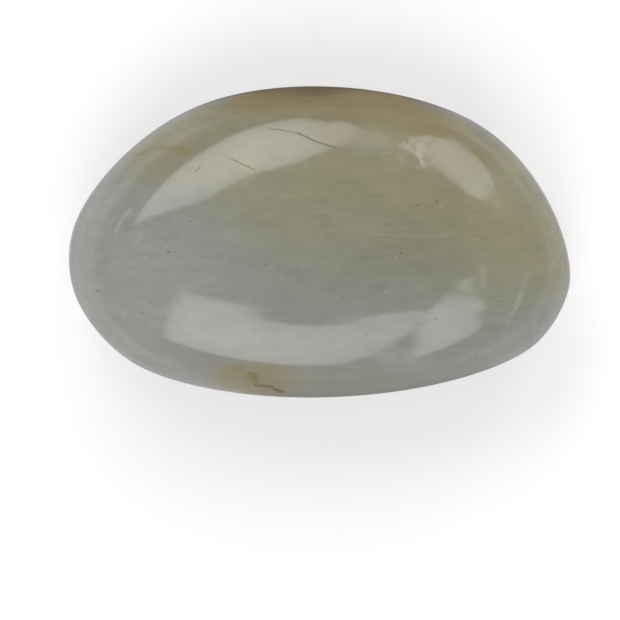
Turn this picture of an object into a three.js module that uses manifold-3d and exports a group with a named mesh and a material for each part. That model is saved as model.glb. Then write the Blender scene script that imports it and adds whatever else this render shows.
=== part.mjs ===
// A tumbled and polished stone, one solid piece about 27 mm long, resting on a small worn flat.
// Seen from above it is a lopsided egg: a round left end, a nearly straight lower side and
// a tight corner at the lower right. Real size in millimetres, +X along the stone, +Z up,
// with the origin on the table under the middle of the stone's box.

import * as THREE from "three";
import { mergeVertices } from "three/addons/utils/BufferGeometryUtils.js";
import Module from "manifold-3d";

// The pebble's half sizes, and the radius that its edge is rolled over to all round
const HALF_LENGTH = 13.5;
const HALF_WIDTH = 8.4;
const HALF_DEPTH = 5.1;
const EDGE_RADIUS = 4.2;

// How far the outline reaches from the centre, as a calliper jaw would read it, in even steps
// anticlockwise round the stone, starting at the right end
const OUTLINE_REACH = [
  13.5, 12.25, 10.75, 9.2, 8.35, 9.25, 10.75, 12.55,
  13.5, 13.25, 11.9, 9.95, 8.4, 9.85, 12.15, 13.45,
];

// How the worn body departs from an even pebble above and below that outline
const SHOULDER = 0.1; // extra reach halfway between the edge and the summit
const LEAN_RIGHT = 0.1; // the summit stands this far right of the outline's mean centre
const LEAN_FRONT = 0.1; // and this far towards its lower side; the underside leans as far away
const WAIST_SADDLE = 0.2; // the widest line is higher along the two sides than at the two ends
const WAIST_TWIST = 0.4; // and rises towards the upper right and the lower left

const RESTING_WEAR = 0.06; // thickness worn off the underside, which leaves the flat
const FACET_ROWS = 17; // cuts along each edge of the icosahedron that is pressed into shape

// The outline's departure from the even pebble, as waves round it with 0, 1, 2 ... crests
const outlineWaves = wavesOf(OUTLINE_REACH.map((reading, i) => {
  const bearing = (2 * Math.PI * i) / OUTLINE_REACH.length;
  return reading - evenReach(Math.cos(bearing), Math.sin(bearing), 0);
}));

// How far an even pebble reaches along a unit direction: a flat ellipsoid inside, and a ball
// of the edge radius rolled all over it.
function evenReach(x, y, z) {
  const halves = [HALF_LENGTH, HALF_WIDTH, HALF_DEPTH].map((half) => half - EDGE_RADIUS);
  return Math.hypot(halves[0] * x, halves[1] * y, halves[2] * z) + EDGE_RADIUS;
}

// The smooth waves that pass through evenly spaced readings round a circle.
function wavesOf(readings) {
  const count = readings.length;
  const waves = [];
  for (let crests = 0; crests <= count / 2; crests++) {
    const share = crests === 0 || crests === count / 2 ? 1 / count : 2 / count;
    let cosine = 0;
    let sine = 0;
    readings.forEach((reading, i) => {
      const phase = (2 * Math.PI * crests * i) / count;
      cosine += share * reading * Math.cos(phase);
      sine += share * reading * Math.sin(phase);
    });
    waves.push({ cosine, sine });
  }
  return waves;
}

// How far the stone reaches from its centre along a direction, times the direction's length.
// A wave with many crests dies out quickly above and below the outline, so the crown is smooth.
function reach(direction) {
  const length = direction.length();
  const { x, y, z } = direction.clone().divideScalar(length);
  let total = evenReach(x, y, z);

  const [evenly, ...waves] = outlineWaves;
  total += evenly.cosine * (x * x + y * y);
  let along = x;
  let across = y;
  for (const { cosine, sine } of waves) {
    total += cosine * along + sine * across;
    [along, across] = [along * x - across * y, along * y + across * x];
  }

  total += 4 * z * z * SHOULDER * (x * x + y * y);
  total += z * (LEAN_RIGHT * x - LEAN_FRONT * y);
  total += z * (WAIST_SADDLE * (y * y - x * x) + WAIST_TWIST * 2 * x * y);
  return total * length;
}

// The point of the surface whose outward normal is the given unit vector: the slope of the reach.
function surfacePoint(normal) {
  const step = 1e-4;
  const slope = ["x", "y", "z"].map((axis) => {
    const ahead = normal.clone();
    const behind = normal.clone();
    ahead[axis] += step;
    behind[axis] -= step;
    return (reach(ahead) - reach(behind)) / (2 * step);
  });
  return new THREE.Vector3(...slope);
}

// The whole pebble before it has a flat: an even ball of facets, each corner moved to the
// surface point that faces as the corner would on the plain ellipsoid of the same size.
function pebbleGeometry() {
  const geometry = closedGeometry(new THREE.IcosahedronGeometry(1, FACET_ROWS));
  const corners = geometry.getAttribute("position");
  const halfSizes = new THREE.Vector3(HALF_LENGTH, HALF_WIDTH, HALF_DEPTH);
  const corner = new THREE.Vector3();
  for (let i = 0; i < corners.count; i++) {
    corner.fromBufferAttribute(corners, i);
    corner.divide(halfSizes).normalize();
    corners.setXYZ(i, ...surfacePoint(corner));
  }
  const underside = reach(new THREE.Vector3(0, 0, -1));
  return geometry.translate(0, 0, underside - RESTING_WEAR);
}

// The same facets with each corner stored once, so that neighbours share it.
function closedGeometry(geometry) {
  geometry.deleteAttribute("normal");
  geometry.deleteAttribute("uv");
  return mergeVertices(geometry, 1e-5);
}

const wasm = await Module();
wasm.setup();

function solidOf(geometry) {
  return new wasm.Manifold(new wasm.Mesh({
    numProp: 3,
    vertProperties: new Float32Array(geometry.getAttribute("position").array),
    triVerts: new Uint32Array(geometry.index.array),
  }));
}

function geometryOf(solid) {
  const { vertProperties, triVerts } = solid.getMesh();
  const geometry = new THREE.BufferGeometry();
  geometry.setAttribute("position", new THREE.BufferAttribute(vertProperties, 3));
  geometry.setIndex(new THREE.BufferAttribute(triVerts, 1));
  geometry.computeVertexNormals();
  return geometry;
}

// The table takes away whatever would reach below it, which leaves the small resting flat.
function tumbledStone() {
  const tableSize = 4 * HALF_LENGTH;
  const table = closedGeometry(new THREE.BoxGeometry(tableSize, tableSize, tableSize));
  table.translate(0, 0, -tableSize / 2);
  const geometry = geometryOf(solidOf(pebbleGeometry()).subtract(solidOf(table)));
  const material = new THREE.MeshStandardMaterial({
    color: 0x8f8e7f,
    roughness: 0.15,
    metalness: 0,
  });
  const stone = new THREE.Mesh(geometry, material);
  stone.name = "stone";
  return stone;
}

const group = new THREE.Group();
group.add(tumbledStone());

export default group;
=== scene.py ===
import math

import bpy
from mathutils import Matrix, Vector


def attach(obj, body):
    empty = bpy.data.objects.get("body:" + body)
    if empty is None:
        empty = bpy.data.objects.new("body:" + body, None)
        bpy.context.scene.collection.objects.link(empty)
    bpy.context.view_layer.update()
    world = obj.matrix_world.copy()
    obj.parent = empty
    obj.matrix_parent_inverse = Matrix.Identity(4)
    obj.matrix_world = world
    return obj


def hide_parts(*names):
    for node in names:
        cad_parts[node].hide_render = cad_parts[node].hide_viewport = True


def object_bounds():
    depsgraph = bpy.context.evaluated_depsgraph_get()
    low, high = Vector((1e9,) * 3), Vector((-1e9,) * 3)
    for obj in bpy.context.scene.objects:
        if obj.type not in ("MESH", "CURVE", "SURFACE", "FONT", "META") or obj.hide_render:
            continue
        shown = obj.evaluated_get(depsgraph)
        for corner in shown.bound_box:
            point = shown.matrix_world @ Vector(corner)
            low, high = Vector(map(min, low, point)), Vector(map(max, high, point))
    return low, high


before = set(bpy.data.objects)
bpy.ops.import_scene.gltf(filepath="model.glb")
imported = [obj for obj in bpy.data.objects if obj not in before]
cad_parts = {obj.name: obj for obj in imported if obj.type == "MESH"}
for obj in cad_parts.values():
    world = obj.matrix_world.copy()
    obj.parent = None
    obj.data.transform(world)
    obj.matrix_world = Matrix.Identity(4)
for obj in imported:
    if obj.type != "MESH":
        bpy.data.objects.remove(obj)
cad_low, cad_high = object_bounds()
scene = bpy.context.scene
MM = 0.001

# Camera: straight above the stone, with the length of the stone across the picture and its
# arched side up. It is far off with a long lens, so the stone is drawn almost without
# perspective. The picture is as wide as PICTURE_WIDTH at the height of the stone's edge.
PICTURE_WIDTH = 33.38 * MM
PICTURE_CENTRE = Vector((-0.51 * MM, -3.69 * MM))
LENS_MM = 300.0
SENSOR_MM = 36.0
edge_height = (cad_low.z + cad_high.z) / 2

camera_data = bpy.data.cameras.new("camera")
camera_data.lens = LENS_MM
camera_data.sensor_width = SENSOR_MM
camera_data.clip_start = 0.01
camera_data.clip_end = 10.0
camera = bpy.data.objects.new("camera", camera_data)
camera.location = (*PICTURE_CENTRE, edge_height + PICTURE_WIDTH * LENS_MM / SENSOR_MM)
scene.collection.objects.link(camera)
scene.camera = camera


# The stone: one natural pebble of a fine-grained grey-green rock, stained olive and tan by iron
# from one side, tumbled until every edge was rolled over and then polished. It lies loose on the
# small flat that it was worn to underneath.
# Its sizes are in millimetres: half sizes, the radius that the edge is rolled over to, and how far
# the outline reaches from the centre in even steps of direction, anticlockwise from the right end.
HALF_LENGTH = 13.5
HALF_WIDTH = 8.4
HALF_DEPTH = 5.1
EDGE_RADIUS = 4.2
OUTLINE_REACH = (
    13.5, 12.25, 10.75, 9.2, 8.35, 9.25, 10.75, 12.55,
    13.5, 13.25, 11.9, 9.95, 8.4, 9.85, 12.15, 13.45,
)
# How the worn body departs from an even pebble: a fuller shoulder, a summit that leans right and
# to the front, and a widest line that rises along the sides and twists.
SHOULDER = 0.1
LEAN_RIGHT = 0.1
LEAN_FRONT = 0.1
WAIST_SADDLE = 0.2
WAIST_TWIST = 0.4
RESTING_WEAR = 0.06
WEAR_SOFTNESS = 0.015
RIPPLE_HEIGHT = 0.008
RIPPLE_SIZE = (3.4, 2.4, 2.4)
CHIP_HEIGHT = 0.1
CHIP_SIZE = (0.8, 0.55, 0.6)
CHIPPED_CENTRE = (5.3, 4.7)
CHIPPED_REACH = (1.9, 1.4)
# Broad swells and hollows of the upper side, too low to see but for the bends that they put in
# the highlights: each with its centre, its half sizes and its height, a hollow's below zero.
SWELLS = {
    "far_middle": ((2.0, 6.5), (1.5, 2.0), 0.03),
    "far_left_hollow": ((-3.5, 5.0), (4.5, 1.5), -0.03),
    "far_right": ((8.0, 2.0), (1.5, 1.5), 0.06),
    "far_right_hollow": ((5.5, 3.5), (2.0, 3.5), -0.04),
    "far_shoulder_hollow": ((8.0, 4.5), (3.0, 2.0), -0.06),
    "near_middle": ((-1.5, -5.0), (5.0, 1.5), 0.05),
    "near_right": ((5.5, -3.5), (3.0, 1.5), 0.03),
    "right": ((9.0, -1.5), (3.0, 1.5), 0.04),
    "right_corner": ((9.5, -3.0), (2.5, 1.0), 0.03),
}
CUBE_ROWS = 128


class Number:
    """A number that a node tree works out, so that a rule can be written as a formula."""

    def __init__(self, tree, socket):
        self.tree = tree
        self.socket = socket

    def calc(self, operation, *others):
        node = self.tree.nodes.new("ShaderNodeMath")
        node.operation = operation
        for place, value in zip(node.inputs, (self, *others)):
            feed(self.tree, place, value)
        return Number(self.tree, node.outputs[0])

    def __add__(self, other):
        return self.calc("ADD", other)

    def __sub__(self, other):
        return self.calc("SUBTRACT", other)

    def __mul__(self, other):
        return self.calc("MULTIPLY", other)

    def __truediv__(self, other):
        return self.calc("DIVIDE", other)

    def smooth_step(self, low, high):
        """0 below low and 1 above high, eased between them; low may be the greater one."""
        node = self.tree.nodes.new("ShaderNodeMapRange")
        node.interpolation_type = "SMOOTHSTEP"
        feed(self.tree, node.inputs["Value"], self)
        node.inputs["From Min"].default_value = low
        node.inputs["From Max"].default_value = high
        return Number(self.tree, node.outputs["Result"])


def feed(tree, place, value):
    """Gives a node's input a number or the result of another node."""
    if isinstance(value, Number):
        value = value.socket
    if isinstance(value, bpy.types.NodeSocket):
        tree.links.new(value, place)
    else:
        place.default_value = value


def split(tree, vector):
    node = tree.nodes.new("ShaderNodeSeparateXYZ")
    feed(tree, node.inputs[0], vector)
    return [Number(tree, socket) for socket in node.outputs]


def join(tree, x, y, z):
    node = tree.nodes.new("ShaderNodeCombineXYZ")
    for place, value in zip(node.inputs, (x, y, z)):
        feed(tree, place, value)
    return node.outputs[0]


def vector_calc(tree, operation, *values):
    node = tree.nodes.new("ShaderNodeVectorMath")
    node.operation = operation
    for place, value in zip(node.inputs, values):
        feed(tree, place, value)
    return node.outputs["Value" if operation in ("LENGTH", "DOT_PRODUCT", "DISTANCE") else "Vector"]


def scaled(tree, vector, factor):
    node = tree.nodes.new("ShaderNodeVectorMath")
    node.operation = "SCALE"
    feed(tree, node.inputs[0], vector)
    feed(tree, node.inputs["Scale"], factor)
    return node.outputs["Vector"]


def noise(tree, place_mm, size, seed, detail=2.0, roughness=0.5):
    """Soft noise about 0.5. size is the length in mm of its blotches along X, Y and Z."""
    stretched = vector_calc(tree, "DIVIDE", place_mm, size)
    node = tree.nodes.new("ShaderNodeTexNoise")
    node.noise_dimensions = "4D"
    node.inputs["Scale"].default_value = 1.0
    node.inputs["W"].default_value = seed
    node.inputs["Detail"].default_value = detail
    node.inputs["Roughness"].default_value = roughness
    feed(tree, node.inputs["Vector"], stretched)
    return Number(tree, node.outputs["Fac"])


def patch(tree, place, centre, reach):
    """1 at the centre of a soft oval patch and 0 outside it. reach is its half sizes in mm."""
    x_away = (place[0] - centre[0]) / reach[0]
    y_away = (place[1] - centre[1]) / reach[1]
    return (x_away * x_away + y_away * y_away).calc("SQRT").smooth_step(1, 0)


def outline_waves():
    """The outline's departure from an even pebble, as waves round it with 0, 1, 2 ... crests."""
    count = len(OUTLINE_REACH)
    departures = []
    for index, reading in enumerate(OUTLINE_REACH):
        bearing = 2 * math.pi * index / count
        along = (HALF_LENGTH - EDGE_RADIUS) * math.cos(bearing)
        across = (HALF_WIDTH - EDGE_RADIUS) * math.sin(bearing)
        departures.append(reading - math.hypot(along, across) - EDGE_RADIUS)
    waves = []
    for crests in range(count // 2 + 1):
        share = (1 if crests in (0, count // 2) else 2) / count
        phases = [2 * math.pi * crests * index / count for index in range(count)]
        cosine = share * sum(d * math.cos(phase) for d, phase in zip(departures, phases))
        sine = share * sum(d * math.sin(phase) for d, phase in zip(departures, phases))
        waves.append((cosine, sine))
    return waves


# The shape, in millimetres: a cube of fine squares is blown up to a ball, each point of the ball
# is taken as the way the surface faces, and the point goes where the stone's reach in that
# direction has its slope. The same rule gives the solid its outline, edge and crown.
pebble = bpy.data.node_groups.new("tumbled_pebble", "GeometryNodeTree")
pebble_sizes = {
    "Half length": HALF_LENGTH,
    "Half width": HALF_WIDTH,
    "Half depth": HALF_DEPTH,
    "Edge radius": EDGE_RADIUS,
    "Shoulder": SHOULDER,
    "Lean right": LEAN_RIGHT,
    "Lean front": LEAN_FRONT,
    "Waist saddle": WAIST_SADDLE,
    "Waist twist": WAIST_TWIST,
    "Resting wear": RESTING_WEAR,
    "Wear softness": WEAR_SOFTNESS,
    "Ripple height": RIPPLE_HEIGHT,
    "Chip height": CHIP_HEIGHT,
}
for name, (centre, swell_reach, swell_height) in SWELLS.items():
    pebble_sizes[f"Swell {name}"] = swell_height
for crests, (cosine, sine) in enumerate(outline_waves()):
    pebble_sizes[f"Outline cosine {crests}"] = cosine
    pebble_sizes[f"Outline sine {crests}"] = sine
pebble.interface.new_socket("Geometry", in_out="OUTPUT", socket_type="NodeSocketGeometry")
size_keys = {}
for name in pebble_sizes:
    socket = pebble.interface.new_socket(name, in_out="INPUT", socket_type="NodeSocketFloat")
    size_keys[name] = socket.identifier
size_node = pebble.nodes.new("NodeGroupInput")


def size(name):
    return Number(pebble, size_node.outputs[name])


cube = pebble.nodes.new("GeometryNodeMeshCube")
cube.inputs["Size"].default_value = (2, 2, 2)
for side in ("Vertices X", "Vertices Y", "Vertices Z"):
    cube.inputs[side].default_value = CUBE_ROWS
cube_place = pebble.nodes.new("GeometryNodeInputPosition").outputs[0]
even_steps = [(part * (math.pi / 4)).calc("TANGENT") for part in split(pebble, cube_place)]
ball = vector_calc(pebble, "NORMALIZE", join(pebble, *even_steps))
halves = join(pebble, size("Half length"), size("Half width"), size("Half depth"))
facing = vector_calc(pebble, "NORMALIZE", vector_calc(pebble, "DIVIDE", ball, halves))
x, y, z = split(pebble, facing)

core_length = size("Half length") - size("Edge radius")
core_width = size("Half width") - size("Edge radius")
core_depth = size("Half depth") - size("Edge radius")
core_reach = Number(pebble, vector_calc(
    pebble, "LENGTH", join(pebble, core_length * x, core_width * y, core_depth * z)))
level = x * x + y * y
reach = core_reach + size("Edge radius") + size("Outline cosine 0") * level
slope_x = core_length * core_length * x / core_reach + size("Outline cosine 0") * x * 2
slope_y = core_width * core_width * y / core_reach + size("Outline cosine 0") * y * 2
slope_z = core_depth * core_depth * z / core_reach

along, across = x, y
along_before, across_before = x * 0 + 1, x * 0
for crests in range(1, len(OUTLINE_REACH) // 2 + 1):
    cosine = size(f"Outline cosine {crests}")
    sine = size(f"Outline sine {crests}")
    reach = reach + cosine * along + sine * across
    slope_x = slope_x + (cosine * along_before + sine * across_before) * crests
    slope_y = slope_y + (sine * along_before - cosine * across_before) * crests
    along_before, across_before = along, across
    along, across = along_before * x - across_before * y, along_before * y + across_before * x

shoulder = size("Shoulder") * 4
lean = size("Lean right") * x - size("Lean front") * y
waist = size("Waist saddle") * (y * y - x * x) + size("Waist twist") * x * y * 2
reach = reach + shoulder * z * z * level + lean * z + waist * z
slope_x = slope_x + shoulder * z * z * x * 2 + size("Lean right") * z
slope_x = slope_x + (size("Waist twist") * y - size("Waist saddle") * x) * z * 2
slope_y = slope_y + shoulder * z * z * y * 2 - size("Lean front") * z
slope_y = slope_y + (size("Waist twist") * x + size("Waist saddle") * y) * z * 2
slope_z = slope_z + shoulder * z * level * 2 + lean + waist
slope = join(pebble, slope_x, slope_y, slope_z)
outward = reach - Number(pebble, vector_calc(pebble, "DOT_PRODUCT", slope, facing))
surface = vector_calc(pebble, "ADD", slope, scaled(pebble, facing, outward))

# Low relief that tumbling leaves: swells, long ripples all over, and a rougher patch on the far
# shoulder where the polish went over small chips.
ripple = noise(pebble, surface, RIPPLE_SIZE, seed=11, detail=1.0) - 0.5
chips = noise(pebble, surface, CHIP_SIZE, seed=12) - 0.5
surface_x, surface_y, surface_z = split(pebble, surface)
chipped = patch(pebble, (surface_x, surface_y), CHIPPED_CENTRE, CHIPPED_REACH)
relief = chips * chipped * size("Chip height")
for name, (centre, swell_reach, swell_height) in SWELLS.items():
    swell = patch(pebble, (surface_x, surface_y), centre, swell_reach)
    relief = relief + swell * size(f"Swell {name}")
relief = relief * surface_z.smooth_step(0, 1) + ripple * size("Ripple height")
surface = vector_calc(pebble, "ADD", surface, scaled(pebble, facing, relief))

surface_x, surface_y, surface_z = split(pebble, surface)
height = surface_z + size("Half depth") - size("Resting wear")
softness = size("Wear softness")
eased = (height + softness).calc("MAXIMUM", 0.0).calc("MINIMUM", softness * 2)
worn_height = eased * eased / (softness * 4) + (height - softness).calc("MAXIMUM", 0.0)
worn = scaled(pebble, join(pebble, surface_x, surface_y, worn_height), MM)

put = pebble.nodes.new("GeometryNodeSetPosition")
shade = pebble.nodes.new("GeometryNodeSetShadeSmooth")
paint = pebble.nodes.new("GeometryNodeSetMaterial")
realize = pebble.nodes.new("GeometryNodeRealizeInstances")
pebble_out = pebble.nodes.new("NodeGroupOutput")
feed(pebble, put.inputs["Geometry"], cube.outputs["Mesh"])
feed(pebble, put.inputs["Position"], worn)
feed(pebble, shade.inputs["Geometry"], put.outputs["Geometry"])
feed(pebble, realize.inputs["Geometry"], shade.outputs["Geometry"])
feed(pebble, paint.inputs["Geometry"], realize.outputs["Geometry"])
feed(pebble, pebble_out.inputs["Geometry"], paint.outputs["Geometry"])

# The finish: polished stone that lets a little light in. All colours are what the stone sends
# back of white light. Places on it are in millimetres, seen from above.
POLISH_IOR = 1.54
POLISH_ROUGHNESS = 0.085
MIRROR_ROUGHNESS = 0.04
TRANSLUCENCY = 0.15
LIGHT_REACH = 0.5
LIGHT_REACH_BY_COLOUR = (1.0, 0.95, 0.8)
polish = bpy.data.materials.new("polished_stone")
polish.use_nodes = True
paint.inputs["Material"].default_value = polish
rock = polish.node_tree
shader = rock.nodes["Principled BSDF"]
shader.inputs["IOR"].default_value = POLISH_IOR
shader.inputs["Subsurface Weight"].default_value = TRANSLUCENCY
shader.inputs["Subsurface Radius"].default_value = LIGHT_REACH_BY_COLOUR
shader.inputs["Subsurface Scale"].default_value = LIGHT_REACH * MM
place_mm = scaled(rock, rock.nodes.new("ShaderNodeTexCoord").outputs["Object"], 1 / MM)

# Two soft noises bend every edge of colour: a broad drift and a fine raggedness.
drift = noise(rock, place_mm, (3.0, 2.2, 2.6), seed=1, detail=3.0) - 0.5
raggedness = noise(rock, place_mm, (0.9, 0.35, 0.6), seed=2, detail=3.0) - 0.5
true_x, true_y, height_mm = split(rock, place_mm)
px = true_x + drift * 1.6 + raggedness * 0.5
py = true_y - drift * 1.2 + raggedness * 0.7
here = (px, py)


def painted(share, colour, below):
    """A colour laid over what is below it, as thickly as share says."""
    node = rock.nodes.new("ShaderNodeMix")
    node.data_type = "RGBA"
    feed(rock, node.inputs["Factor"], share)
    feed(rock, node.inputs["A"], below)
    feed(rock, node.inputs["B"], (*colour, 1))
    return node.outputs["Result"]


def line_distance(place, points):
    """How far a place is from a broken line through the points, in mm."""
    nearest = None
    for start, end in zip(points, points[1:]):
        run = (end[0] - start[0], end[1] - start[1], 0)
        square = run[0] ** 2 + run[1] ** 2
        from_start = vector_calc(rock, "SUBTRACT", place, (*start, 0))
        share = Number(rock, vector_calc(
            rock, "DOT_PRODUCT", from_start, tuple(part / square for part in run)))
        share = share.calc("MAXIMUM", 0.0).calc("MINIMUM", 1.0)
        along_run = scaled(rock, run, share)
        distance = Number(rock, vector_calc(rock, "DISTANCE", from_start, along_run))
        nearest = distance if nearest is None else nearest.calc("MINIMUM", distance)
    return nearest


# The rock: iron has crept in from the far side. Near side and left end are still cool grey; past
# a line that bends across the stone it turns grey-green, olive and, at the far right, tan.
LEFT_LINE_Y = 3.1
LINE_DROP = 4.6
LINE_FALL = 0.15
IRON_PATCHES = {
    "far_middle": ((4.0, 7.5), (5.5, 2.6), 0.3),
    "far_left": ((-8.6, 4.2), (3.6, 2.2), 0.2),
    "clean_far_left": ((-3.4, 4.6), (4.6, 2.6), -0.22),
    "clean_left_rim": ((-11.4, 3.7), (2.2, 2.2), -0.35),
    "near_right": ((9.4, -4.2), (3.0, 2.6), 0.15),
}
line_y = px.smooth_step(-8.5, -0.5) * -LINE_DROP + LEFT_LINE_Y
line_y = line_y - (px + 0.5).calc("MAXIMUM", 0.0) * LINE_FALL
line_width = patch(rock, here, (0.5, 0.0), (12.0, 1000.0)) * 1.2 + 1.0
past_line = (py - line_y) / line_width
iron = past_line.smooth_step(-1.9, 2.6) + drift * 0.3
for centre, reach_mm, change in IRON_PATCHES.values():
    iron = iron + patch(rock, here, centre, reach_mm) * change
ROCK_COLOURS = (
    (0.0, (0.988, 1.0, 0.91)),
    (0.2, (0.988, 1.0, 0.845)),
    (0.4, (1.0, 1.0, 0.755)),
    (0.6, (1.02, 1.0, 0.695)),
    (0.8, (1.075, 1.0, 0.64)),
    (1.0, (1.15, 1.0, 0.58)),
)
ramp = rock.nodes.new("ShaderNodeValToRGB")
feed(rock, ramp.inputs["Fac"], iron * 0.8)
while len(ramp.color_ramp.elements) < len(ROCK_COLOURS):
    ramp.color_ramp.elements.new(0.5)
for stop, (position, colour) in zip(ramp.color_ramp.elements, ROCK_COLOURS):
    stop.position = position
    stop.color = (*colour, 1)

# How bright the rock is in its middle, and patches that are brighter or darker than that. Some
# of the patches are painted highlight or painted shade, each marked below.
MIDDLE_TONE = 0.245
TONE_PATCHES = {
    "near_left": ((-10.5, -4.5), (9.5, 6.5), 0.064),
    "left_end": ((-12.5, 1.5), (6.0, 6.5), 0.044),
    "left_middle": ((-6.5, -0.5), (5.0, 4.5), 0.022),
    "far_left_edge": ((-4.5, 6.8), (3.4, 1.5), -0.02),
    # Painted shade: darkens the upper left end of a softbox's reflection.
    "painted_shade_far_left_shoulder": ((-6.3, 4.8), (1.6, 0.9), -0.022),
    "far_edge": ((1.6, 6.9), (4.0, 1.2), -0.022),
    # Painted shade: dims the right part of a softbox's reflection on the far shoulder.
    "far_shoulder": ((-1.3, 6.0), (3.2, 1.6), -0.018),
    # Painted highlight: lightens the soft inner border of a softbox's reflection.
    "far_left": ((-3.2, 3.0), (4.6, 1.7), 0.018),
    "middle": ((0.5, 0.4), (3.0, 1.6), 0.01),
    "right_end": ((11.5, -2.5), (4.0, 8.0), 0.028),
    "far_right": ((9.8, 3.2), (4.0, 3.0), 0.03),
    "far_right_dim": ((7.7, 3.7), (2.6, 2.0), -0.024),
    "far_right_shoulder": ((8.3, 4.8), (2.4, 1.0), -0.018),
    "far_right_rim": ((11.7, 3.0), (1.9, 3.2), -0.022),
    "right_middle": ((5.0, 0.3), (6.5, 4.0), -0.018),
    # Painted highlight: a faint haze of softbox light between two highlights.
    "painted_haze_by_the_chips": ((4.1, 4.5), (1.7, 0.9), 0.022),
    "near_right_shoulder": ((4.4, -6.15), (2.2, 0.85), 0.052),
    "near_edge": ((1.5, -7.4), (10.0, 2.8), 0.032),
    "near_right": ((7.5, -5.5), (5.5, 3.8), 0.024),
    "near_middle": ((-0.5, -3.6), (6.0, 2.0), 0.012),
}
tone = drift * 0.02 + MIDDLE_TONE
for centre, reach_mm, change in TONE_PATCHES.values():
    tone = tone + patch(rock, here, centre, reach_mm) * change

# Fine layers of the rock show as faint streaks along its length, at four sizes, each as strong
# as its share of the tone.
STREAK_SHARE = 0.19
LAYER_SHARE = 0.09
BAND_SHARE = 0.17
CLOUD_SHARE = 0.25
streak = noise(rock, place_mm, (0.6, 0.25, 0.3), seed=3) - 0.5
layer = noise(rock, place_mm, (1.5, 0.19, 0.5), seed=9, detail=1.0) - 0.5
band = noise(rock, place_mm, (2.8, 0.55, 1.2), seed=4) - 0.5
cloud = noise(rock, place_mm, (1.5, 0.9, 1.2), seed=5, detail=3.0) - 0.5
layered = streak * STREAK_SHARE + layer * LAYER_SHARE + band * BAND_SHARE + cloud * CLOUD_SHARE
tone = tone * (layered + 1.0)
colour = scaled(rock, ramp.outputs["Color"], tone)

# The outer edge is painted paler and faintly lilac, as painted reflection of the pale floor on the
# rolled edge. Along the far side the rock turns brown, nearly black-brown in the middle, where the
# brown rind is darkened further with painted shade, and cool grey towards the right end. Below the
# widest line the browns and the grey run out unevenly. The near edge is darkened with painted shade.
PAINTED_EDGE_REFLECTION_COLOUR = (0.272, 0.264, 0.27)
BROWN_SKIN_COLOUR = (0.262, 0.208, 0.108)
DARK_BROWN_AND_SHADE_COLOUR = (0.12, 0.073, 0.038)
GREY_SKIN_COLOUR = (0.205, 0.198, 0.19)
NEAR_EDGE_SHADE_COLOUR = (0.15, 0.145, 0.115)
WIDEST_HEIGHT = 4.9
# Painted reflection: the rolled edge is painted pale and faintly lilac, most of all at the left end.
painted_edge_reflection = (height_mm + drift * 1.5).smooth_step(7.4, 5.6)
left_end = px.smooth_step(1.0, -9.0)
colour = painted(painted_edge_reflection * (left_end * 0.25 + 0.45), PAINTED_EDGE_REFLECTION_COLOUR, colour)
below_edge = (height_mm * -1.0 + WIDEST_HEIGHT).calc("MAXIMUM", 0.0)
uneven_depth = below_edge + drift * 4.0
skin_line = (px - 1.0).calc("MAXIMUM", 0.0) * -0.22 + 6.75
brown = (py - skin_line + band * 0.8).smooth_step(-0.2, 0.45)
brown_end = px - py * 1.09 + 12.7 + below_edge * (drift * 3.0 - 0.5)
brown_end = (brown_end / (below_edge * 0.9 + 1.0)).smooth_step(-0.2, 0.6)
brown = brown * brown_end * px.smooth_step(8.2, 7.0) * uneven_depth.smooth_step(5.5, 0.5)
colour = painted(brown * 0.85, BROWN_SKIN_COLOUR, colour)
# Partly painted shade: the brown rind in the middle of the far edge is darkened to black-brown.
dark_brown_and_shade = patch(rock, here, (-0.9, 8.9), (5.6, 1.9)) * uneven_depth.smooth_step(3.6, -0.4)
colour = painted(dark_brown_and_shade, DARK_BROWN_AND_SHADE_COLOUR, colour)
grey_end = (px - 4.7 - below_edge * 0.3) / (below_edge * 0.9 + 1.0)
grey_skin = (py + px * 0.42 - 9.3 + below_edge * 0.3).smooth_step(-0.1, 0.35)
grey_skin = grey_skin * grey_end.smooth_step(-0.7, 0.7) * uneven_depth.smooth_step(4.5, -1.0)
colour = painted(grey_skin * 0.8, GREY_SKIN_COLOUR, colour)
# Painted shade: the near edge is darkened along the middle of the stone.
near_edge = (py * -1.0 - 6.9).smooth_step(0, 1.4) * px.smooth_step(-8, -4) * px.smooth_step(9, 5)
colour = painted(near_edge * 0.27, NEAR_EDGE_SHADE_COLOUR, colour)

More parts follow.
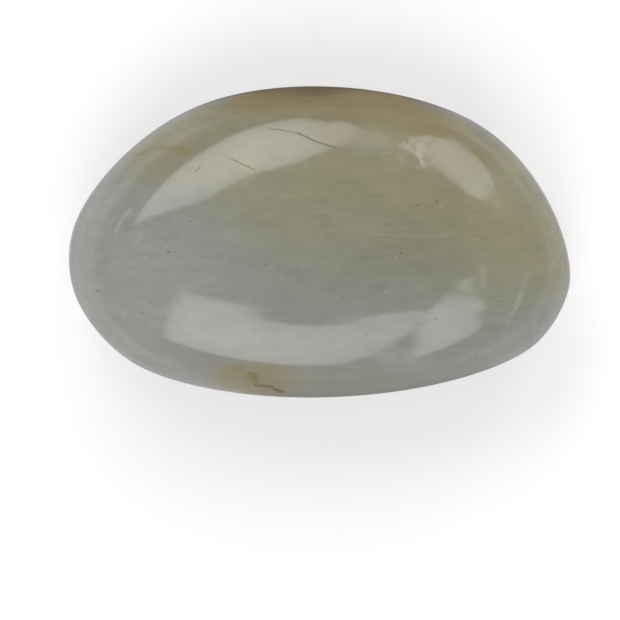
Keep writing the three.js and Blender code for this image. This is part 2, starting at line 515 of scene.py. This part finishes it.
# Soft stains on the upper side and one painted highlight, each an oval with its centre, half sizes,
# strength and colour.
# They and the marks that follow stop at the widest line.
upper_side = (height_mm + drift).smooth_step(3.6, 5.2)
stain_place = (true_x + drift * 0.8 + raggedness * 0.6, true_y + raggedness * 0.5)
STAINS = {
    "left_pink": ((-7.6, 4.0), (2.6, 1.8), 0.6, (0.275, 0.246, 0.184)),
    "left_olive": ((-7.25, 4.72), (0.95, 0.34), 0.85, (0.245, 0.222, 0.09)),
    "near_wide": ((-3.2, -7.0), (3.8, 1.5), 0.8, (0.29, 0.272, 0.215)),
    "near_tan": ((-3.6, -7.5), (2.7, 1.15), 0.9, (0.268, 0.232, 0.128)),
    "near_warm": ((2.0, -7.6), (4.5, 1.2), 0.5, (0.26, 0.26, 0.2)),
    "near_orange": ((-4.28, -6.74), (0.5, 0.3), 0.6, (0.28, 0.195, 0.1)),
    "near_orange_side": ((-4.75, -6.95), (1.0, 0.55), 0.4, (0.29, 0.225, 0.12)),
    "near_edge_rust": ((-2.9, -8.15), (1.6, 0.42), 0.5, (0.25, 0.175, 0.085)),
    "near_olive": ((-3.65, -7.2), (0.36, 0.34), 0.65, (0.22, 0.195, 0.08)),
    "far_tan": ((0.8, 5.75), (2.0, 1.3), 0.9, (0.228, 0.192, 0.108)),
    "far_tan_right": ((3.7, 6.0), (2.4, 1.2), 0.6, (0.275, 0.242, 0.14)),
    "far_right_tan": ((7.0, 4.4), (2.9, 1.7), 0.75, (0.285, 0.238, 0.15)),
    # Painted highlight: pale colour where a softbox's reflection spreads over the chips.
    "painted_highlight_on_chips": ((4.9, 4.9), (0.8, 0.5), 0.6, (0.37, 0.33, 0.235)),
    "middle_pale": ((2.2, 0.95), (1.1, 0.75), 0.35, (0.285, 0.268, 0.19)),
}
for centre, stain_reach, strength, stain_colour in STAINS.values():
    stain = patch(rock, stain_place, centre, stain_reach).calc("SQRT") * upper_side
    colour = painted(stain * strength, stain_colour, colour)

# Veins, pale lines and painted highlights: soft lines, each with its half breadth in mm, strength
# and colour, and worn through in places.
worn_through = (raggedness * 2.2 + 0.75).calc("MAXIMUM", 0.0).calc("MINIMUM", 1.0)
veins_place = join(rock, true_x + raggedness * 0.3, true_y + raggedness * 0.18, 0.0)
cracks_place = join(rock, true_x, true_y + raggedness * 0.12 + streak * 0.12, 0.0)
VEINS = {
    "left_vein": (((-9.75, 4.6), (-9.1, 4.87), (-8.3, 4.97), (-7.3, 4.92)),
                  0.2, 0.75, (0.205, 0.19, 0.08)),
    "shoulder_vein": (((5.4, 5.65), (6.1, 5.58), (6.85, 5.37), (7.5, 5.0), (8.3, 4.47), (8.8, 4.1)),
                      0.3, 0.75, (0.27, 0.225, 0.1)),
    "shoulder_line": (((6.05, 5.58), (6.9, 5.36)), 0.07, 0.7, (0.2, 0.165, 0.08)),
    "near_vein": (((-3.7, -7.05), (-3.45, -7.25), (-3.36, -7.45), (-3.4, -7.68)),
                  0.2, 0.85, (0.19, 0.17, 0.05)),
    "near_vein_end": (((-2.35, -7.95), (-1.95, -8.08)), 0.16, 0.7, (0.19, 0.175, 0.06)),
    "pale_streak_left": (((-3.2, 0.52), (-1.0, 0.62), (1.45, 0.55)), 0.11, 0.35, (0.3, 0.29, 0.22)),
    "pale_streak_right": (((2.6, 0.3), (5.5, 0.2), (7.9, 0.3)), 0.12, 0.6, (0.31, 0.29, 0.2)),
    "near_streak": (((-1.6, -7.05), (0.4, -7.1), (2.2, -7.0)), 0.1, 0.25, (0.31, 0.31, 0.26)),
    "right_pale_arc": (((11.0, -1.9), (10.75, -2.75)), 0.2, 0.6, (0.35, 0.34, 0.28)),
    "right_pale_arc_middle": (((10.7, -2.85), (10.4, -3.6)), 0.22, 0.85, (0.38, 0.37, 0.31)),
    "right_pale_arc_near": (((10.3, -3.75), (9.95, -4.4)), 0.2, 0.7, (0.35, 0.34, 0.28)),
    "right_dash": (((9.4, -3.1), (9.75, -3.07)), 0.09, 0.4, (0.4, 0.38, 0.31)),
    # Painted highlight: a bright hook at the ragged edge of a softbox's reflection on the chips.
    "painted_highlight_hook": (((4.45, 5.25), (4.7, 4.95), (5.15, 4.72), (5.42, 4.3), (5.58, 3.92)),
                  0.17, 0.8, (0.36, 0.33, 0.24)),
    "painted_highlight_hook_end": (((5.58, 3.92), (5.88, 4.08)), 0.15, 0.7, (0.33, 0.31, 0.22)),
    "chip_hollow": (((5.62, 4.4), (5.8, 4.36)), 0.28, 0.7, (0.17, 0.17, 0.1)),
    # Painted highlight: a short upright bright bar beside a softbox's reflection at the right end.
    "painted_highlight_bar": (((8.68, -1.5), (8.68, -2.35)), 0.3, 0.65, (0.345, 0.325, 0.245)),
    "left_pale_line": (((-10.78, 0.47), (-10.63, 0.96), (-10.36, 1.31), (-10.0, 1.65)),
                   0.2, 0.75, (0.355, 0.358, 0.345)),
    "left_pale_line_outer": (((-11.2, 0.89), (-10.83, 1.27)), 0.18, 0.7, (0.355, 0.358, 0.345)),
    "left_pale_line_inner": (((-9.74, -0.12), (-9.53, 0.3)), 0.18, 0.6, (0.345, 0.348, 0.335)),
}
for points, breadth, strength, vein_colour in VEINS.values():
    vein = line_distance(veins_place, points).smooth_step(breadth, 0)
    colour = painted(vein * upper_side * worn_through * strength, vein_colour, colour)

# Hairline cracks: fine dark lines where the polish has sunk in and lost its gloss.
CRACKS = {
    "far_crack_tip": (((-2.65, 5.93), (-1.85, 5.86), (-1.15, 5.7)), 0.055, (0.17, 0.155, 0.1)),
    "far_crack": (((-1.15, 5.7), (-0.5, 5.4), (0.15, 5.12), (0.95, 4.86)), 0.085, (0.14, 0.13, 0.08)),
    "left_crack": (((-4.75, 4.35), (-4.1, 4.06)), 0.055, (0.16, 0.14, 0.09)),
    "left_crack_end": (((-4.1, 4.06), (-3.4, 3.72)), 0.07, (0.27, 0.19, 0.07)),
    "left_tick": (((-6.6, 3.64), (-6.44, 3.78), (-6.33, 3.92)), 0.045, (0.12, 0.11, 0.09)),
    "near_crack": (((-3.4, -7.68), (-3.03, -7.72), (-2.69, -7.76), (-2.35, -7.93), (-1.9, -8.05)),
                   0.11, (0.12, 0.105, 0.03)),
}
CRACK_STRENGTH = 0.85
groove = None
for points, breadth, crack_colour in CRACKS.values():
    crack = line_distance(cracks_place, points).smooth_step(breadth, 0) * upper_side
    colour = painted(crack * CRACK_STRENGTH, crack_colour, colour)
    groove = crack if groove is None else groove.calc("MAXIMUM", crack)

# Dark and pale mineral grains: the larger ones that catch the eye, each with its place and half
# breadth, and fine ones all over. A grain is drawn out along the layers by GRAIN_STRETCH.
DARK_GRAIN_COLOUR = (0.07, 0.07, 0.055)
PALE_GRAIN_COLOUR = (0.42, 0.41, 0.36)
FINE_DARK_COLOUR = (0.13, 0.125, 0.09)
FINE_PALE_COLOUR = (0.4, 0.39, 0.34)
GRAIN_STRETCH = 0.6
DARK_GRAINS = (
    (-8.0, -0.62, 0.06), (5.2, 1.84, 0.055), (6.2, 2.05, 0.06), (4.3, -0.66, 0.055),
    (2.5, -4.98, 0.045), (6.1, -4.17, 0.05), (8.27, -6.1, 0.045), (-9.4, -3.85, 0.04),
    (-8.97, -3.3, 0.035), (-2.72, -3.47, 0.035), (0.35, -4.07, 0.035), (-6.86, 1.0, 0.045),
    (-11.8, -2.67, 0.05), (-3.3, 0.75, 0.035), (-2.9, -1.3, 0.03), (4.95, 1.82, 0.035),
)
PALE_GRAINS = (
    (-10.35, -3.85, 0.1), (-9.66, 0.03, 0.06), (3.53, -2.72, 0.09), (6.4, 1.8, 0.07),
    (4.07, -0.9, 0.07), (3.36, -4.07, 0.07), (-9.2, -0.9, 0.07), (0.9, -3.0, 0.06),
    (-8.1, -0.35, 0.07),
)
grain_place = join(rock, true_x * GRAIN_STRETCH, true_y, 0.0)
for grains, strength, grain_colour in (
        (DARK_GRAINS, 0.75, DARK_GRAIN_COLOUR), (PALE_GRAINS, 0.35, PALE_GRAIN_COLOUR)):
    speck = None
    for grain_x, grain_y, radius in grains:
        away = vector_calc(rock, "DISTANCE", grain_place, (grain_x * GRAIN_STRETCH, grain_y, 0))
        one = Number(rock, away).smooth_step(radius * 1.3, radius * 0.2)
        speck = one if speck is None else speck.calc("MAXIMUM", one)
    colour = painted(speck * upper_side * strength, grain_colour, colour)


def scattered(cell_size, seed, radius, share):
    """Small dots scattered through the rock, in some of the cells of about the given size in mm."""
    cells = rock.nodes.new("ShaderNodeTexVoronoi")
    cells.voronoi_dimensions = "4D"
    cells.inputs["Scale"].default_value = 1.0
    cells.inputs["W"].default_value = seed
    feed(rock, cells.inputs["Vector"], vector_calc(rock, "DIVIDE", place_mm, cell_size))
    chosen = split(rock, cells.outputs["Color"])[0].smooth_step(1 - share, 1)
    return Number(rock, cells.outputs["Distance"]).smooth_step(radius, radius * 0.3) * chosen


fine_dark = scattered((1.1, 0.45, 0.6), seed=6.5, radius=0.2, share=0.4)
fine_pale = scattered((1.2, 0.5, 0.7), seed=8.5, radius=0.22, share=0.4)
colour = painted(fine_dark * 0.4, FINE_DARK_COLOUR, colour)
colour = painted(fine_pale * 0.3, FINE_PALE_COLOUR, colour)
feed(rock, shader.inputs["Base Color"], colour)

# The polish: glossy, a little duller along the layers, in the cracks and on the chipped shoulder,
# with pinholes where grains fell out.
dull_patch = patch(rock, (true_x, true_y), (2.6, 5.3), (2.2, 1.3)) * (raggedness * 1.6 + 1.0)
dullness = streak * 0.05 + cloud * 0.05 + groove * 0.4 + dull_patch * 0.2 + POLISH_ROUGHNESS
feed(rock, shader.inputs["Roughness"], dullness.calc("MAXIMUM", MIRROR_ROUGHNESS))
polish_relief = streak * 0.0006 + raggedness * 0.0004 - groove * 0.003 - fine_dark * 0.002
bump = rock.nodes.new("ShaderNodeBump")
bump.inputs["Distance"].default_value = MM
feed(rock, bump.inputs["Height"], polish_relief)
rock.links.new(bump.outputs["Normal"], shader.inputs["Normal"])

seed_mesh = bpy.data.meshes.new("pebble_seed")
blank = bpy.data.objects.new("pebble_seed", seed_mesh)
scene.collection.objects.link(blank)
shaping = blank.modifiers.new("shape", "NODES")
shaping.node_group = pebble
for name, value in pebble_sizes.items():
    shaping[size_keys[name]] = value
depsgraph = bpy.context.evaluated_depsgraph_get()
stone_mesh = bpy.data.meshes.new_from_object(blank.evaluated_get(depsgraph), depsgraph=depsgraph)
bpy.data.objects.remove(blank)
stone = bpy.data.objects.new("polished_stone", stone_mesh)
scene.collection.objects.link(stone)
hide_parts("stone")
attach(stone, "root")


# Floor: a wide pale sheet that the stone lies on, glowing faintly from below as a light table
# does, so that the stone's shadow stays soft and pale.
FLOOR_RADIUS = 0.9
FLOOR_COLOUR = 0.68
FLOOR_GLOW = 0.37


def flat_sheet(name, corners, height, colour, glow=0.0):
    """One flat sheet of plain paint through the corners, lying at the given height."""
    mesh = bpy.data.meshes.new(name)
    mesh.from_pydata([(x, y, height) for x, y in corners], [], [tuple(range(len(corners)))])
    mesh.update()
    sheet = bpy.data.objects.new(name, mesh)
    scene.collection.objects.link(sheet)
    plain = bpy.data.materials.new(name)
    plain.use_nodes = True
    paint_shader = plain.node_tree.nodes["Principled BSDF"]
    paint_shader.inputs["Base Color"].default_value = (colour, colour, colour, 1)
    paint_shader.inputs["Roughness"].default_value = 0.9
    paint_shader.inputs["Specular IOR Level"].default_value = 0.1
    paint_shader.inputs["Emission Color"].default_value = (1, 1, 1, 1)
    paint_shader.inputs["Emission Strength"].default_value = glow
    mesh.materials.append(plain)
    return sheet


floor_rim = [(FLOOR_RADIUS * math.cos(math.radians(bearing)),
              FLOOR_RADIUS * math.sin(math.radians(bearing))) for bearing in range(0, 360, 4)]
flat_sheet("floor", floor_rim, 0.0, FLOOR_COLOUR, FLOOR_GLOW)

# A dark card lies round the stone, out of the camera's sight. It only shows in the polish, as a
# photographer's cards give a glossy piece its edges: dark lines along the two long sides, where
# it reaches far out, a thin outline all round, and a faint even shade between them.
CARD_HALF_LENGTH = 160.0
CARD_HALF_WIDTH = 320.0
CARD_HEIGHT = 0.5
FAR_COLOUR = 0.15
NEAR_COLOUR = 0.38
OUTLINE_CENTRE = (0.3, 0.0)
OUTLINE_HALF_SIZES = (16.5, 11.4)
OUTLINE_STRENGTH = 0.5
SHADE_STRENGTH = 0.12
WIDE_SHADE_STRENGTH = 0.3
card_corners = [(across * CARD_HALF_LENGTH * MM, away * CARD_HALF_WIDTH * MM)
                for across, away in ((-1, -1), (1, -1), (1, 1), (-1, 1))]
card = flat_sheet("dark_card", card_corners, CARD_HEIGHT * MM, 1.0)
card_nodes = card.data.materials[0].node_tree
card_place = card_nodes.nodes.new("ShaderNodeTexCoord").outputs["Object"]
card_x, card_y, _ = split(card_nodes, scaled(card_nodes, card_place, 1 / MM))
along_card = card_y.calc("ABSOLUTE")
near_side = card_y.smooth_step(4.0, -4.0)
aside = (card_x - near_side * 3.5).calc("ABSOLUTE")
wings = (aside / (along_card * 0.45 + 9.0)).smooth_step(1.0, 0.3) * along_card.smooth_step(3.0, 6.5)
wide_wings = (card_x.calc("ABSOLUTE") / (along_card * 1.1 + 8.0)).smooth_step(1.45, 0.9)
from_stone_x = (card_x - OUTLINE_CENTRE[0]) / OUTLINE_HALF_SIZES[0]
from_stone_y = (card_y - OUTLINE_CENTRE[1]) / OUTLINE_HALF_SIZES[1]
from_stone = (from_stone_x * from_stone_x + from_stone_y * from_stone_y).calc("SQRT")
outline = from_stone.smooth_step(1.35, 1.0) * OUTLINE_STRENGTH
shade = (wide_wings * WIDE_SHADE_STRENGTH + SHADE_STRENGTH) * from_stone.smooth_step(3.5, 1.5)
thickness = wings.calc("MAXIMUM", outline).calc("MAXIMUM", shade)
card_colour = near_side * wings * (NEAR_COLOUR - FAR_COLOUR) + FAR_COLOUR
card_shader = card_nodes.nodes["Principled BSDF"]
feed(card_nodes, card_shader.inputs["Base Color"], join(card_nodes, card_colour, card_colour, card_colour))
clear = card_nodes.nodes.new("ShaderNodeBsdfTransparent")
blend = card_nodes.nodes.new("ShaderNodeMixShader")
feed(card_nodes, blend.inputs["Fac"], thickness)
feed(card_nodes, blend.inputs[1], clear.outputs["BSDF"])
feed(card_nodes, blend.inputs[2], card_shader.outputs["BSDF"])
feed(card_nodes, card_nodes.nodes["Material Output"].inputs["Surface"], blend.outputs["Shader"])
card.visible_camera = False
card.visible_diffuse = False
card.visible_transmission = False
card.visible_shadow = False


# Light: four large softboxes round the camera, two on each long side of the stone, and an even
# glow from the room. Each softbox is given by its angle from straight up, its bearing, its turn
# about its own middle, its tip and its nod, all in degrees, its two half sizes in metres, and its
# brightness. Its cloth is brightest in the middle and fades out at the border.
SOFTBOXES = {
    "softbox_upper_left": (43, 105, 46, 5, 46, 0.45, 0.31, 3.75),
    "softbox_upper_right": (50, 64, 112, 8, -63, 0.29, 0.32, 2.8),
    "softbox_lower_left": (37, -100, 83, -7, -8, 0.36, 0.28, 3.3),
    "softbox_lower_right": (38, -63, 82, -43, 63, 0.44, 0.23, 2.95),
}
SOFTBOX_DISTANCE = 1.0
BORDER = 1.08
BORDER_INNER = 0.92
CLOTH_FALL = 0.3
for name, (polar, bearing, turn, tip, nod, half_across, half_up, brightness) in SOFTBOXES.items():
    lean_out, compass = math.radians(polar), math.radians(bearing)
    outward_way = Vector((math.sin(lean_out) * math.cos(compass),
                          math.sin(lean_out) * math.sin(compass), math.cos(lean_out)))
    sideways = Vector((0, 0, 1)).cross(outward_way).normalized()
    square_on = Matrix((sideways, outward_way.cross(sideways), outward_way)).transposed()
    turned = Matrix.Rotation(math.radians(turn), 3, "Z")
    tipped = Matrix.Rotation(math.radians(tip), 3, "Y")
    nodded = Matrix.Rotation(math.radians(nod), 3, "X")
    light = bpy.data.lights.new(name, "AREA")
    light.shape = "RECTANGLE"
    light.size = 2 * half_across * BORDER * SOFTBOX_DISTANCE
    light.size_y = 2 * half_up * BORDER * SOFTBOX_DISTANCE
    light.energy = brightness * math.pi * light.size * light.size_y
    light.use_nodes = True
    cloth = light.node_tree
    across_cloth = cloth.nodes.new("ShaderNodeNewGeometry").outputs["Parametric"]
    cloth_share = None
    for part in split(cloth, across_cloth)[:2]:
        from_middle = ((part - 0.5) * (2 * BORDER)).calc("ABSOLUTE")
        fade = from_middle * from_middle * -CLOTH_FALL + 1.0
        fade = fade * from_middle.smooth_step(BORDER, BORDER_INNER)
        cloth_share = fade if cloth_share is None else cloth_share * fade
    feed(cloth, cloth.nodes["Emission"].inputs["Strength"], cloth_share)
    lamp = bpy.data.objects.new(name, light)
    lamp.matrix_world = (Matrix.Translation(outward_way * SOFTBOX_DISTANCE)
                         @ (square_on @ turned @ tipped @ nodded).to_4x4())
    lamp.visible_camera = False
    scene.collection.objects.link(lamp)

# The room: pale walls all round, brighter low down than above, and dimmer at the far end.
ROOM_GLOW = 0.36
WALL_GLOW = 0.3
FAR_WALL_SHARE = 0.2
room = bpy.data.worlds.new("room")
room.use_nodes = True
walls = room.node_tree
_, way_back, way_up = split(walls, walls.nodes.new("ShaderNodeTexCoord").outputs["Object"])
side_share = way_back.smooth_step(0.98, 0.7) * (1 - FAR_WALL_SHARE) + FAR_WALL_SHARE
glow = way_up.smooth_step(0.3, -0.05) * side_share * WALL_GLOW + ROOM_GLOW
walls.nodes["Background"].inputs["Color"].default_value = (1, 1, 1, 1)
feed(walls, walls.nodes["Background"].inputs["Strength"], glow)
scene.world = room
scene.view_settings.view_transform = "Standard"
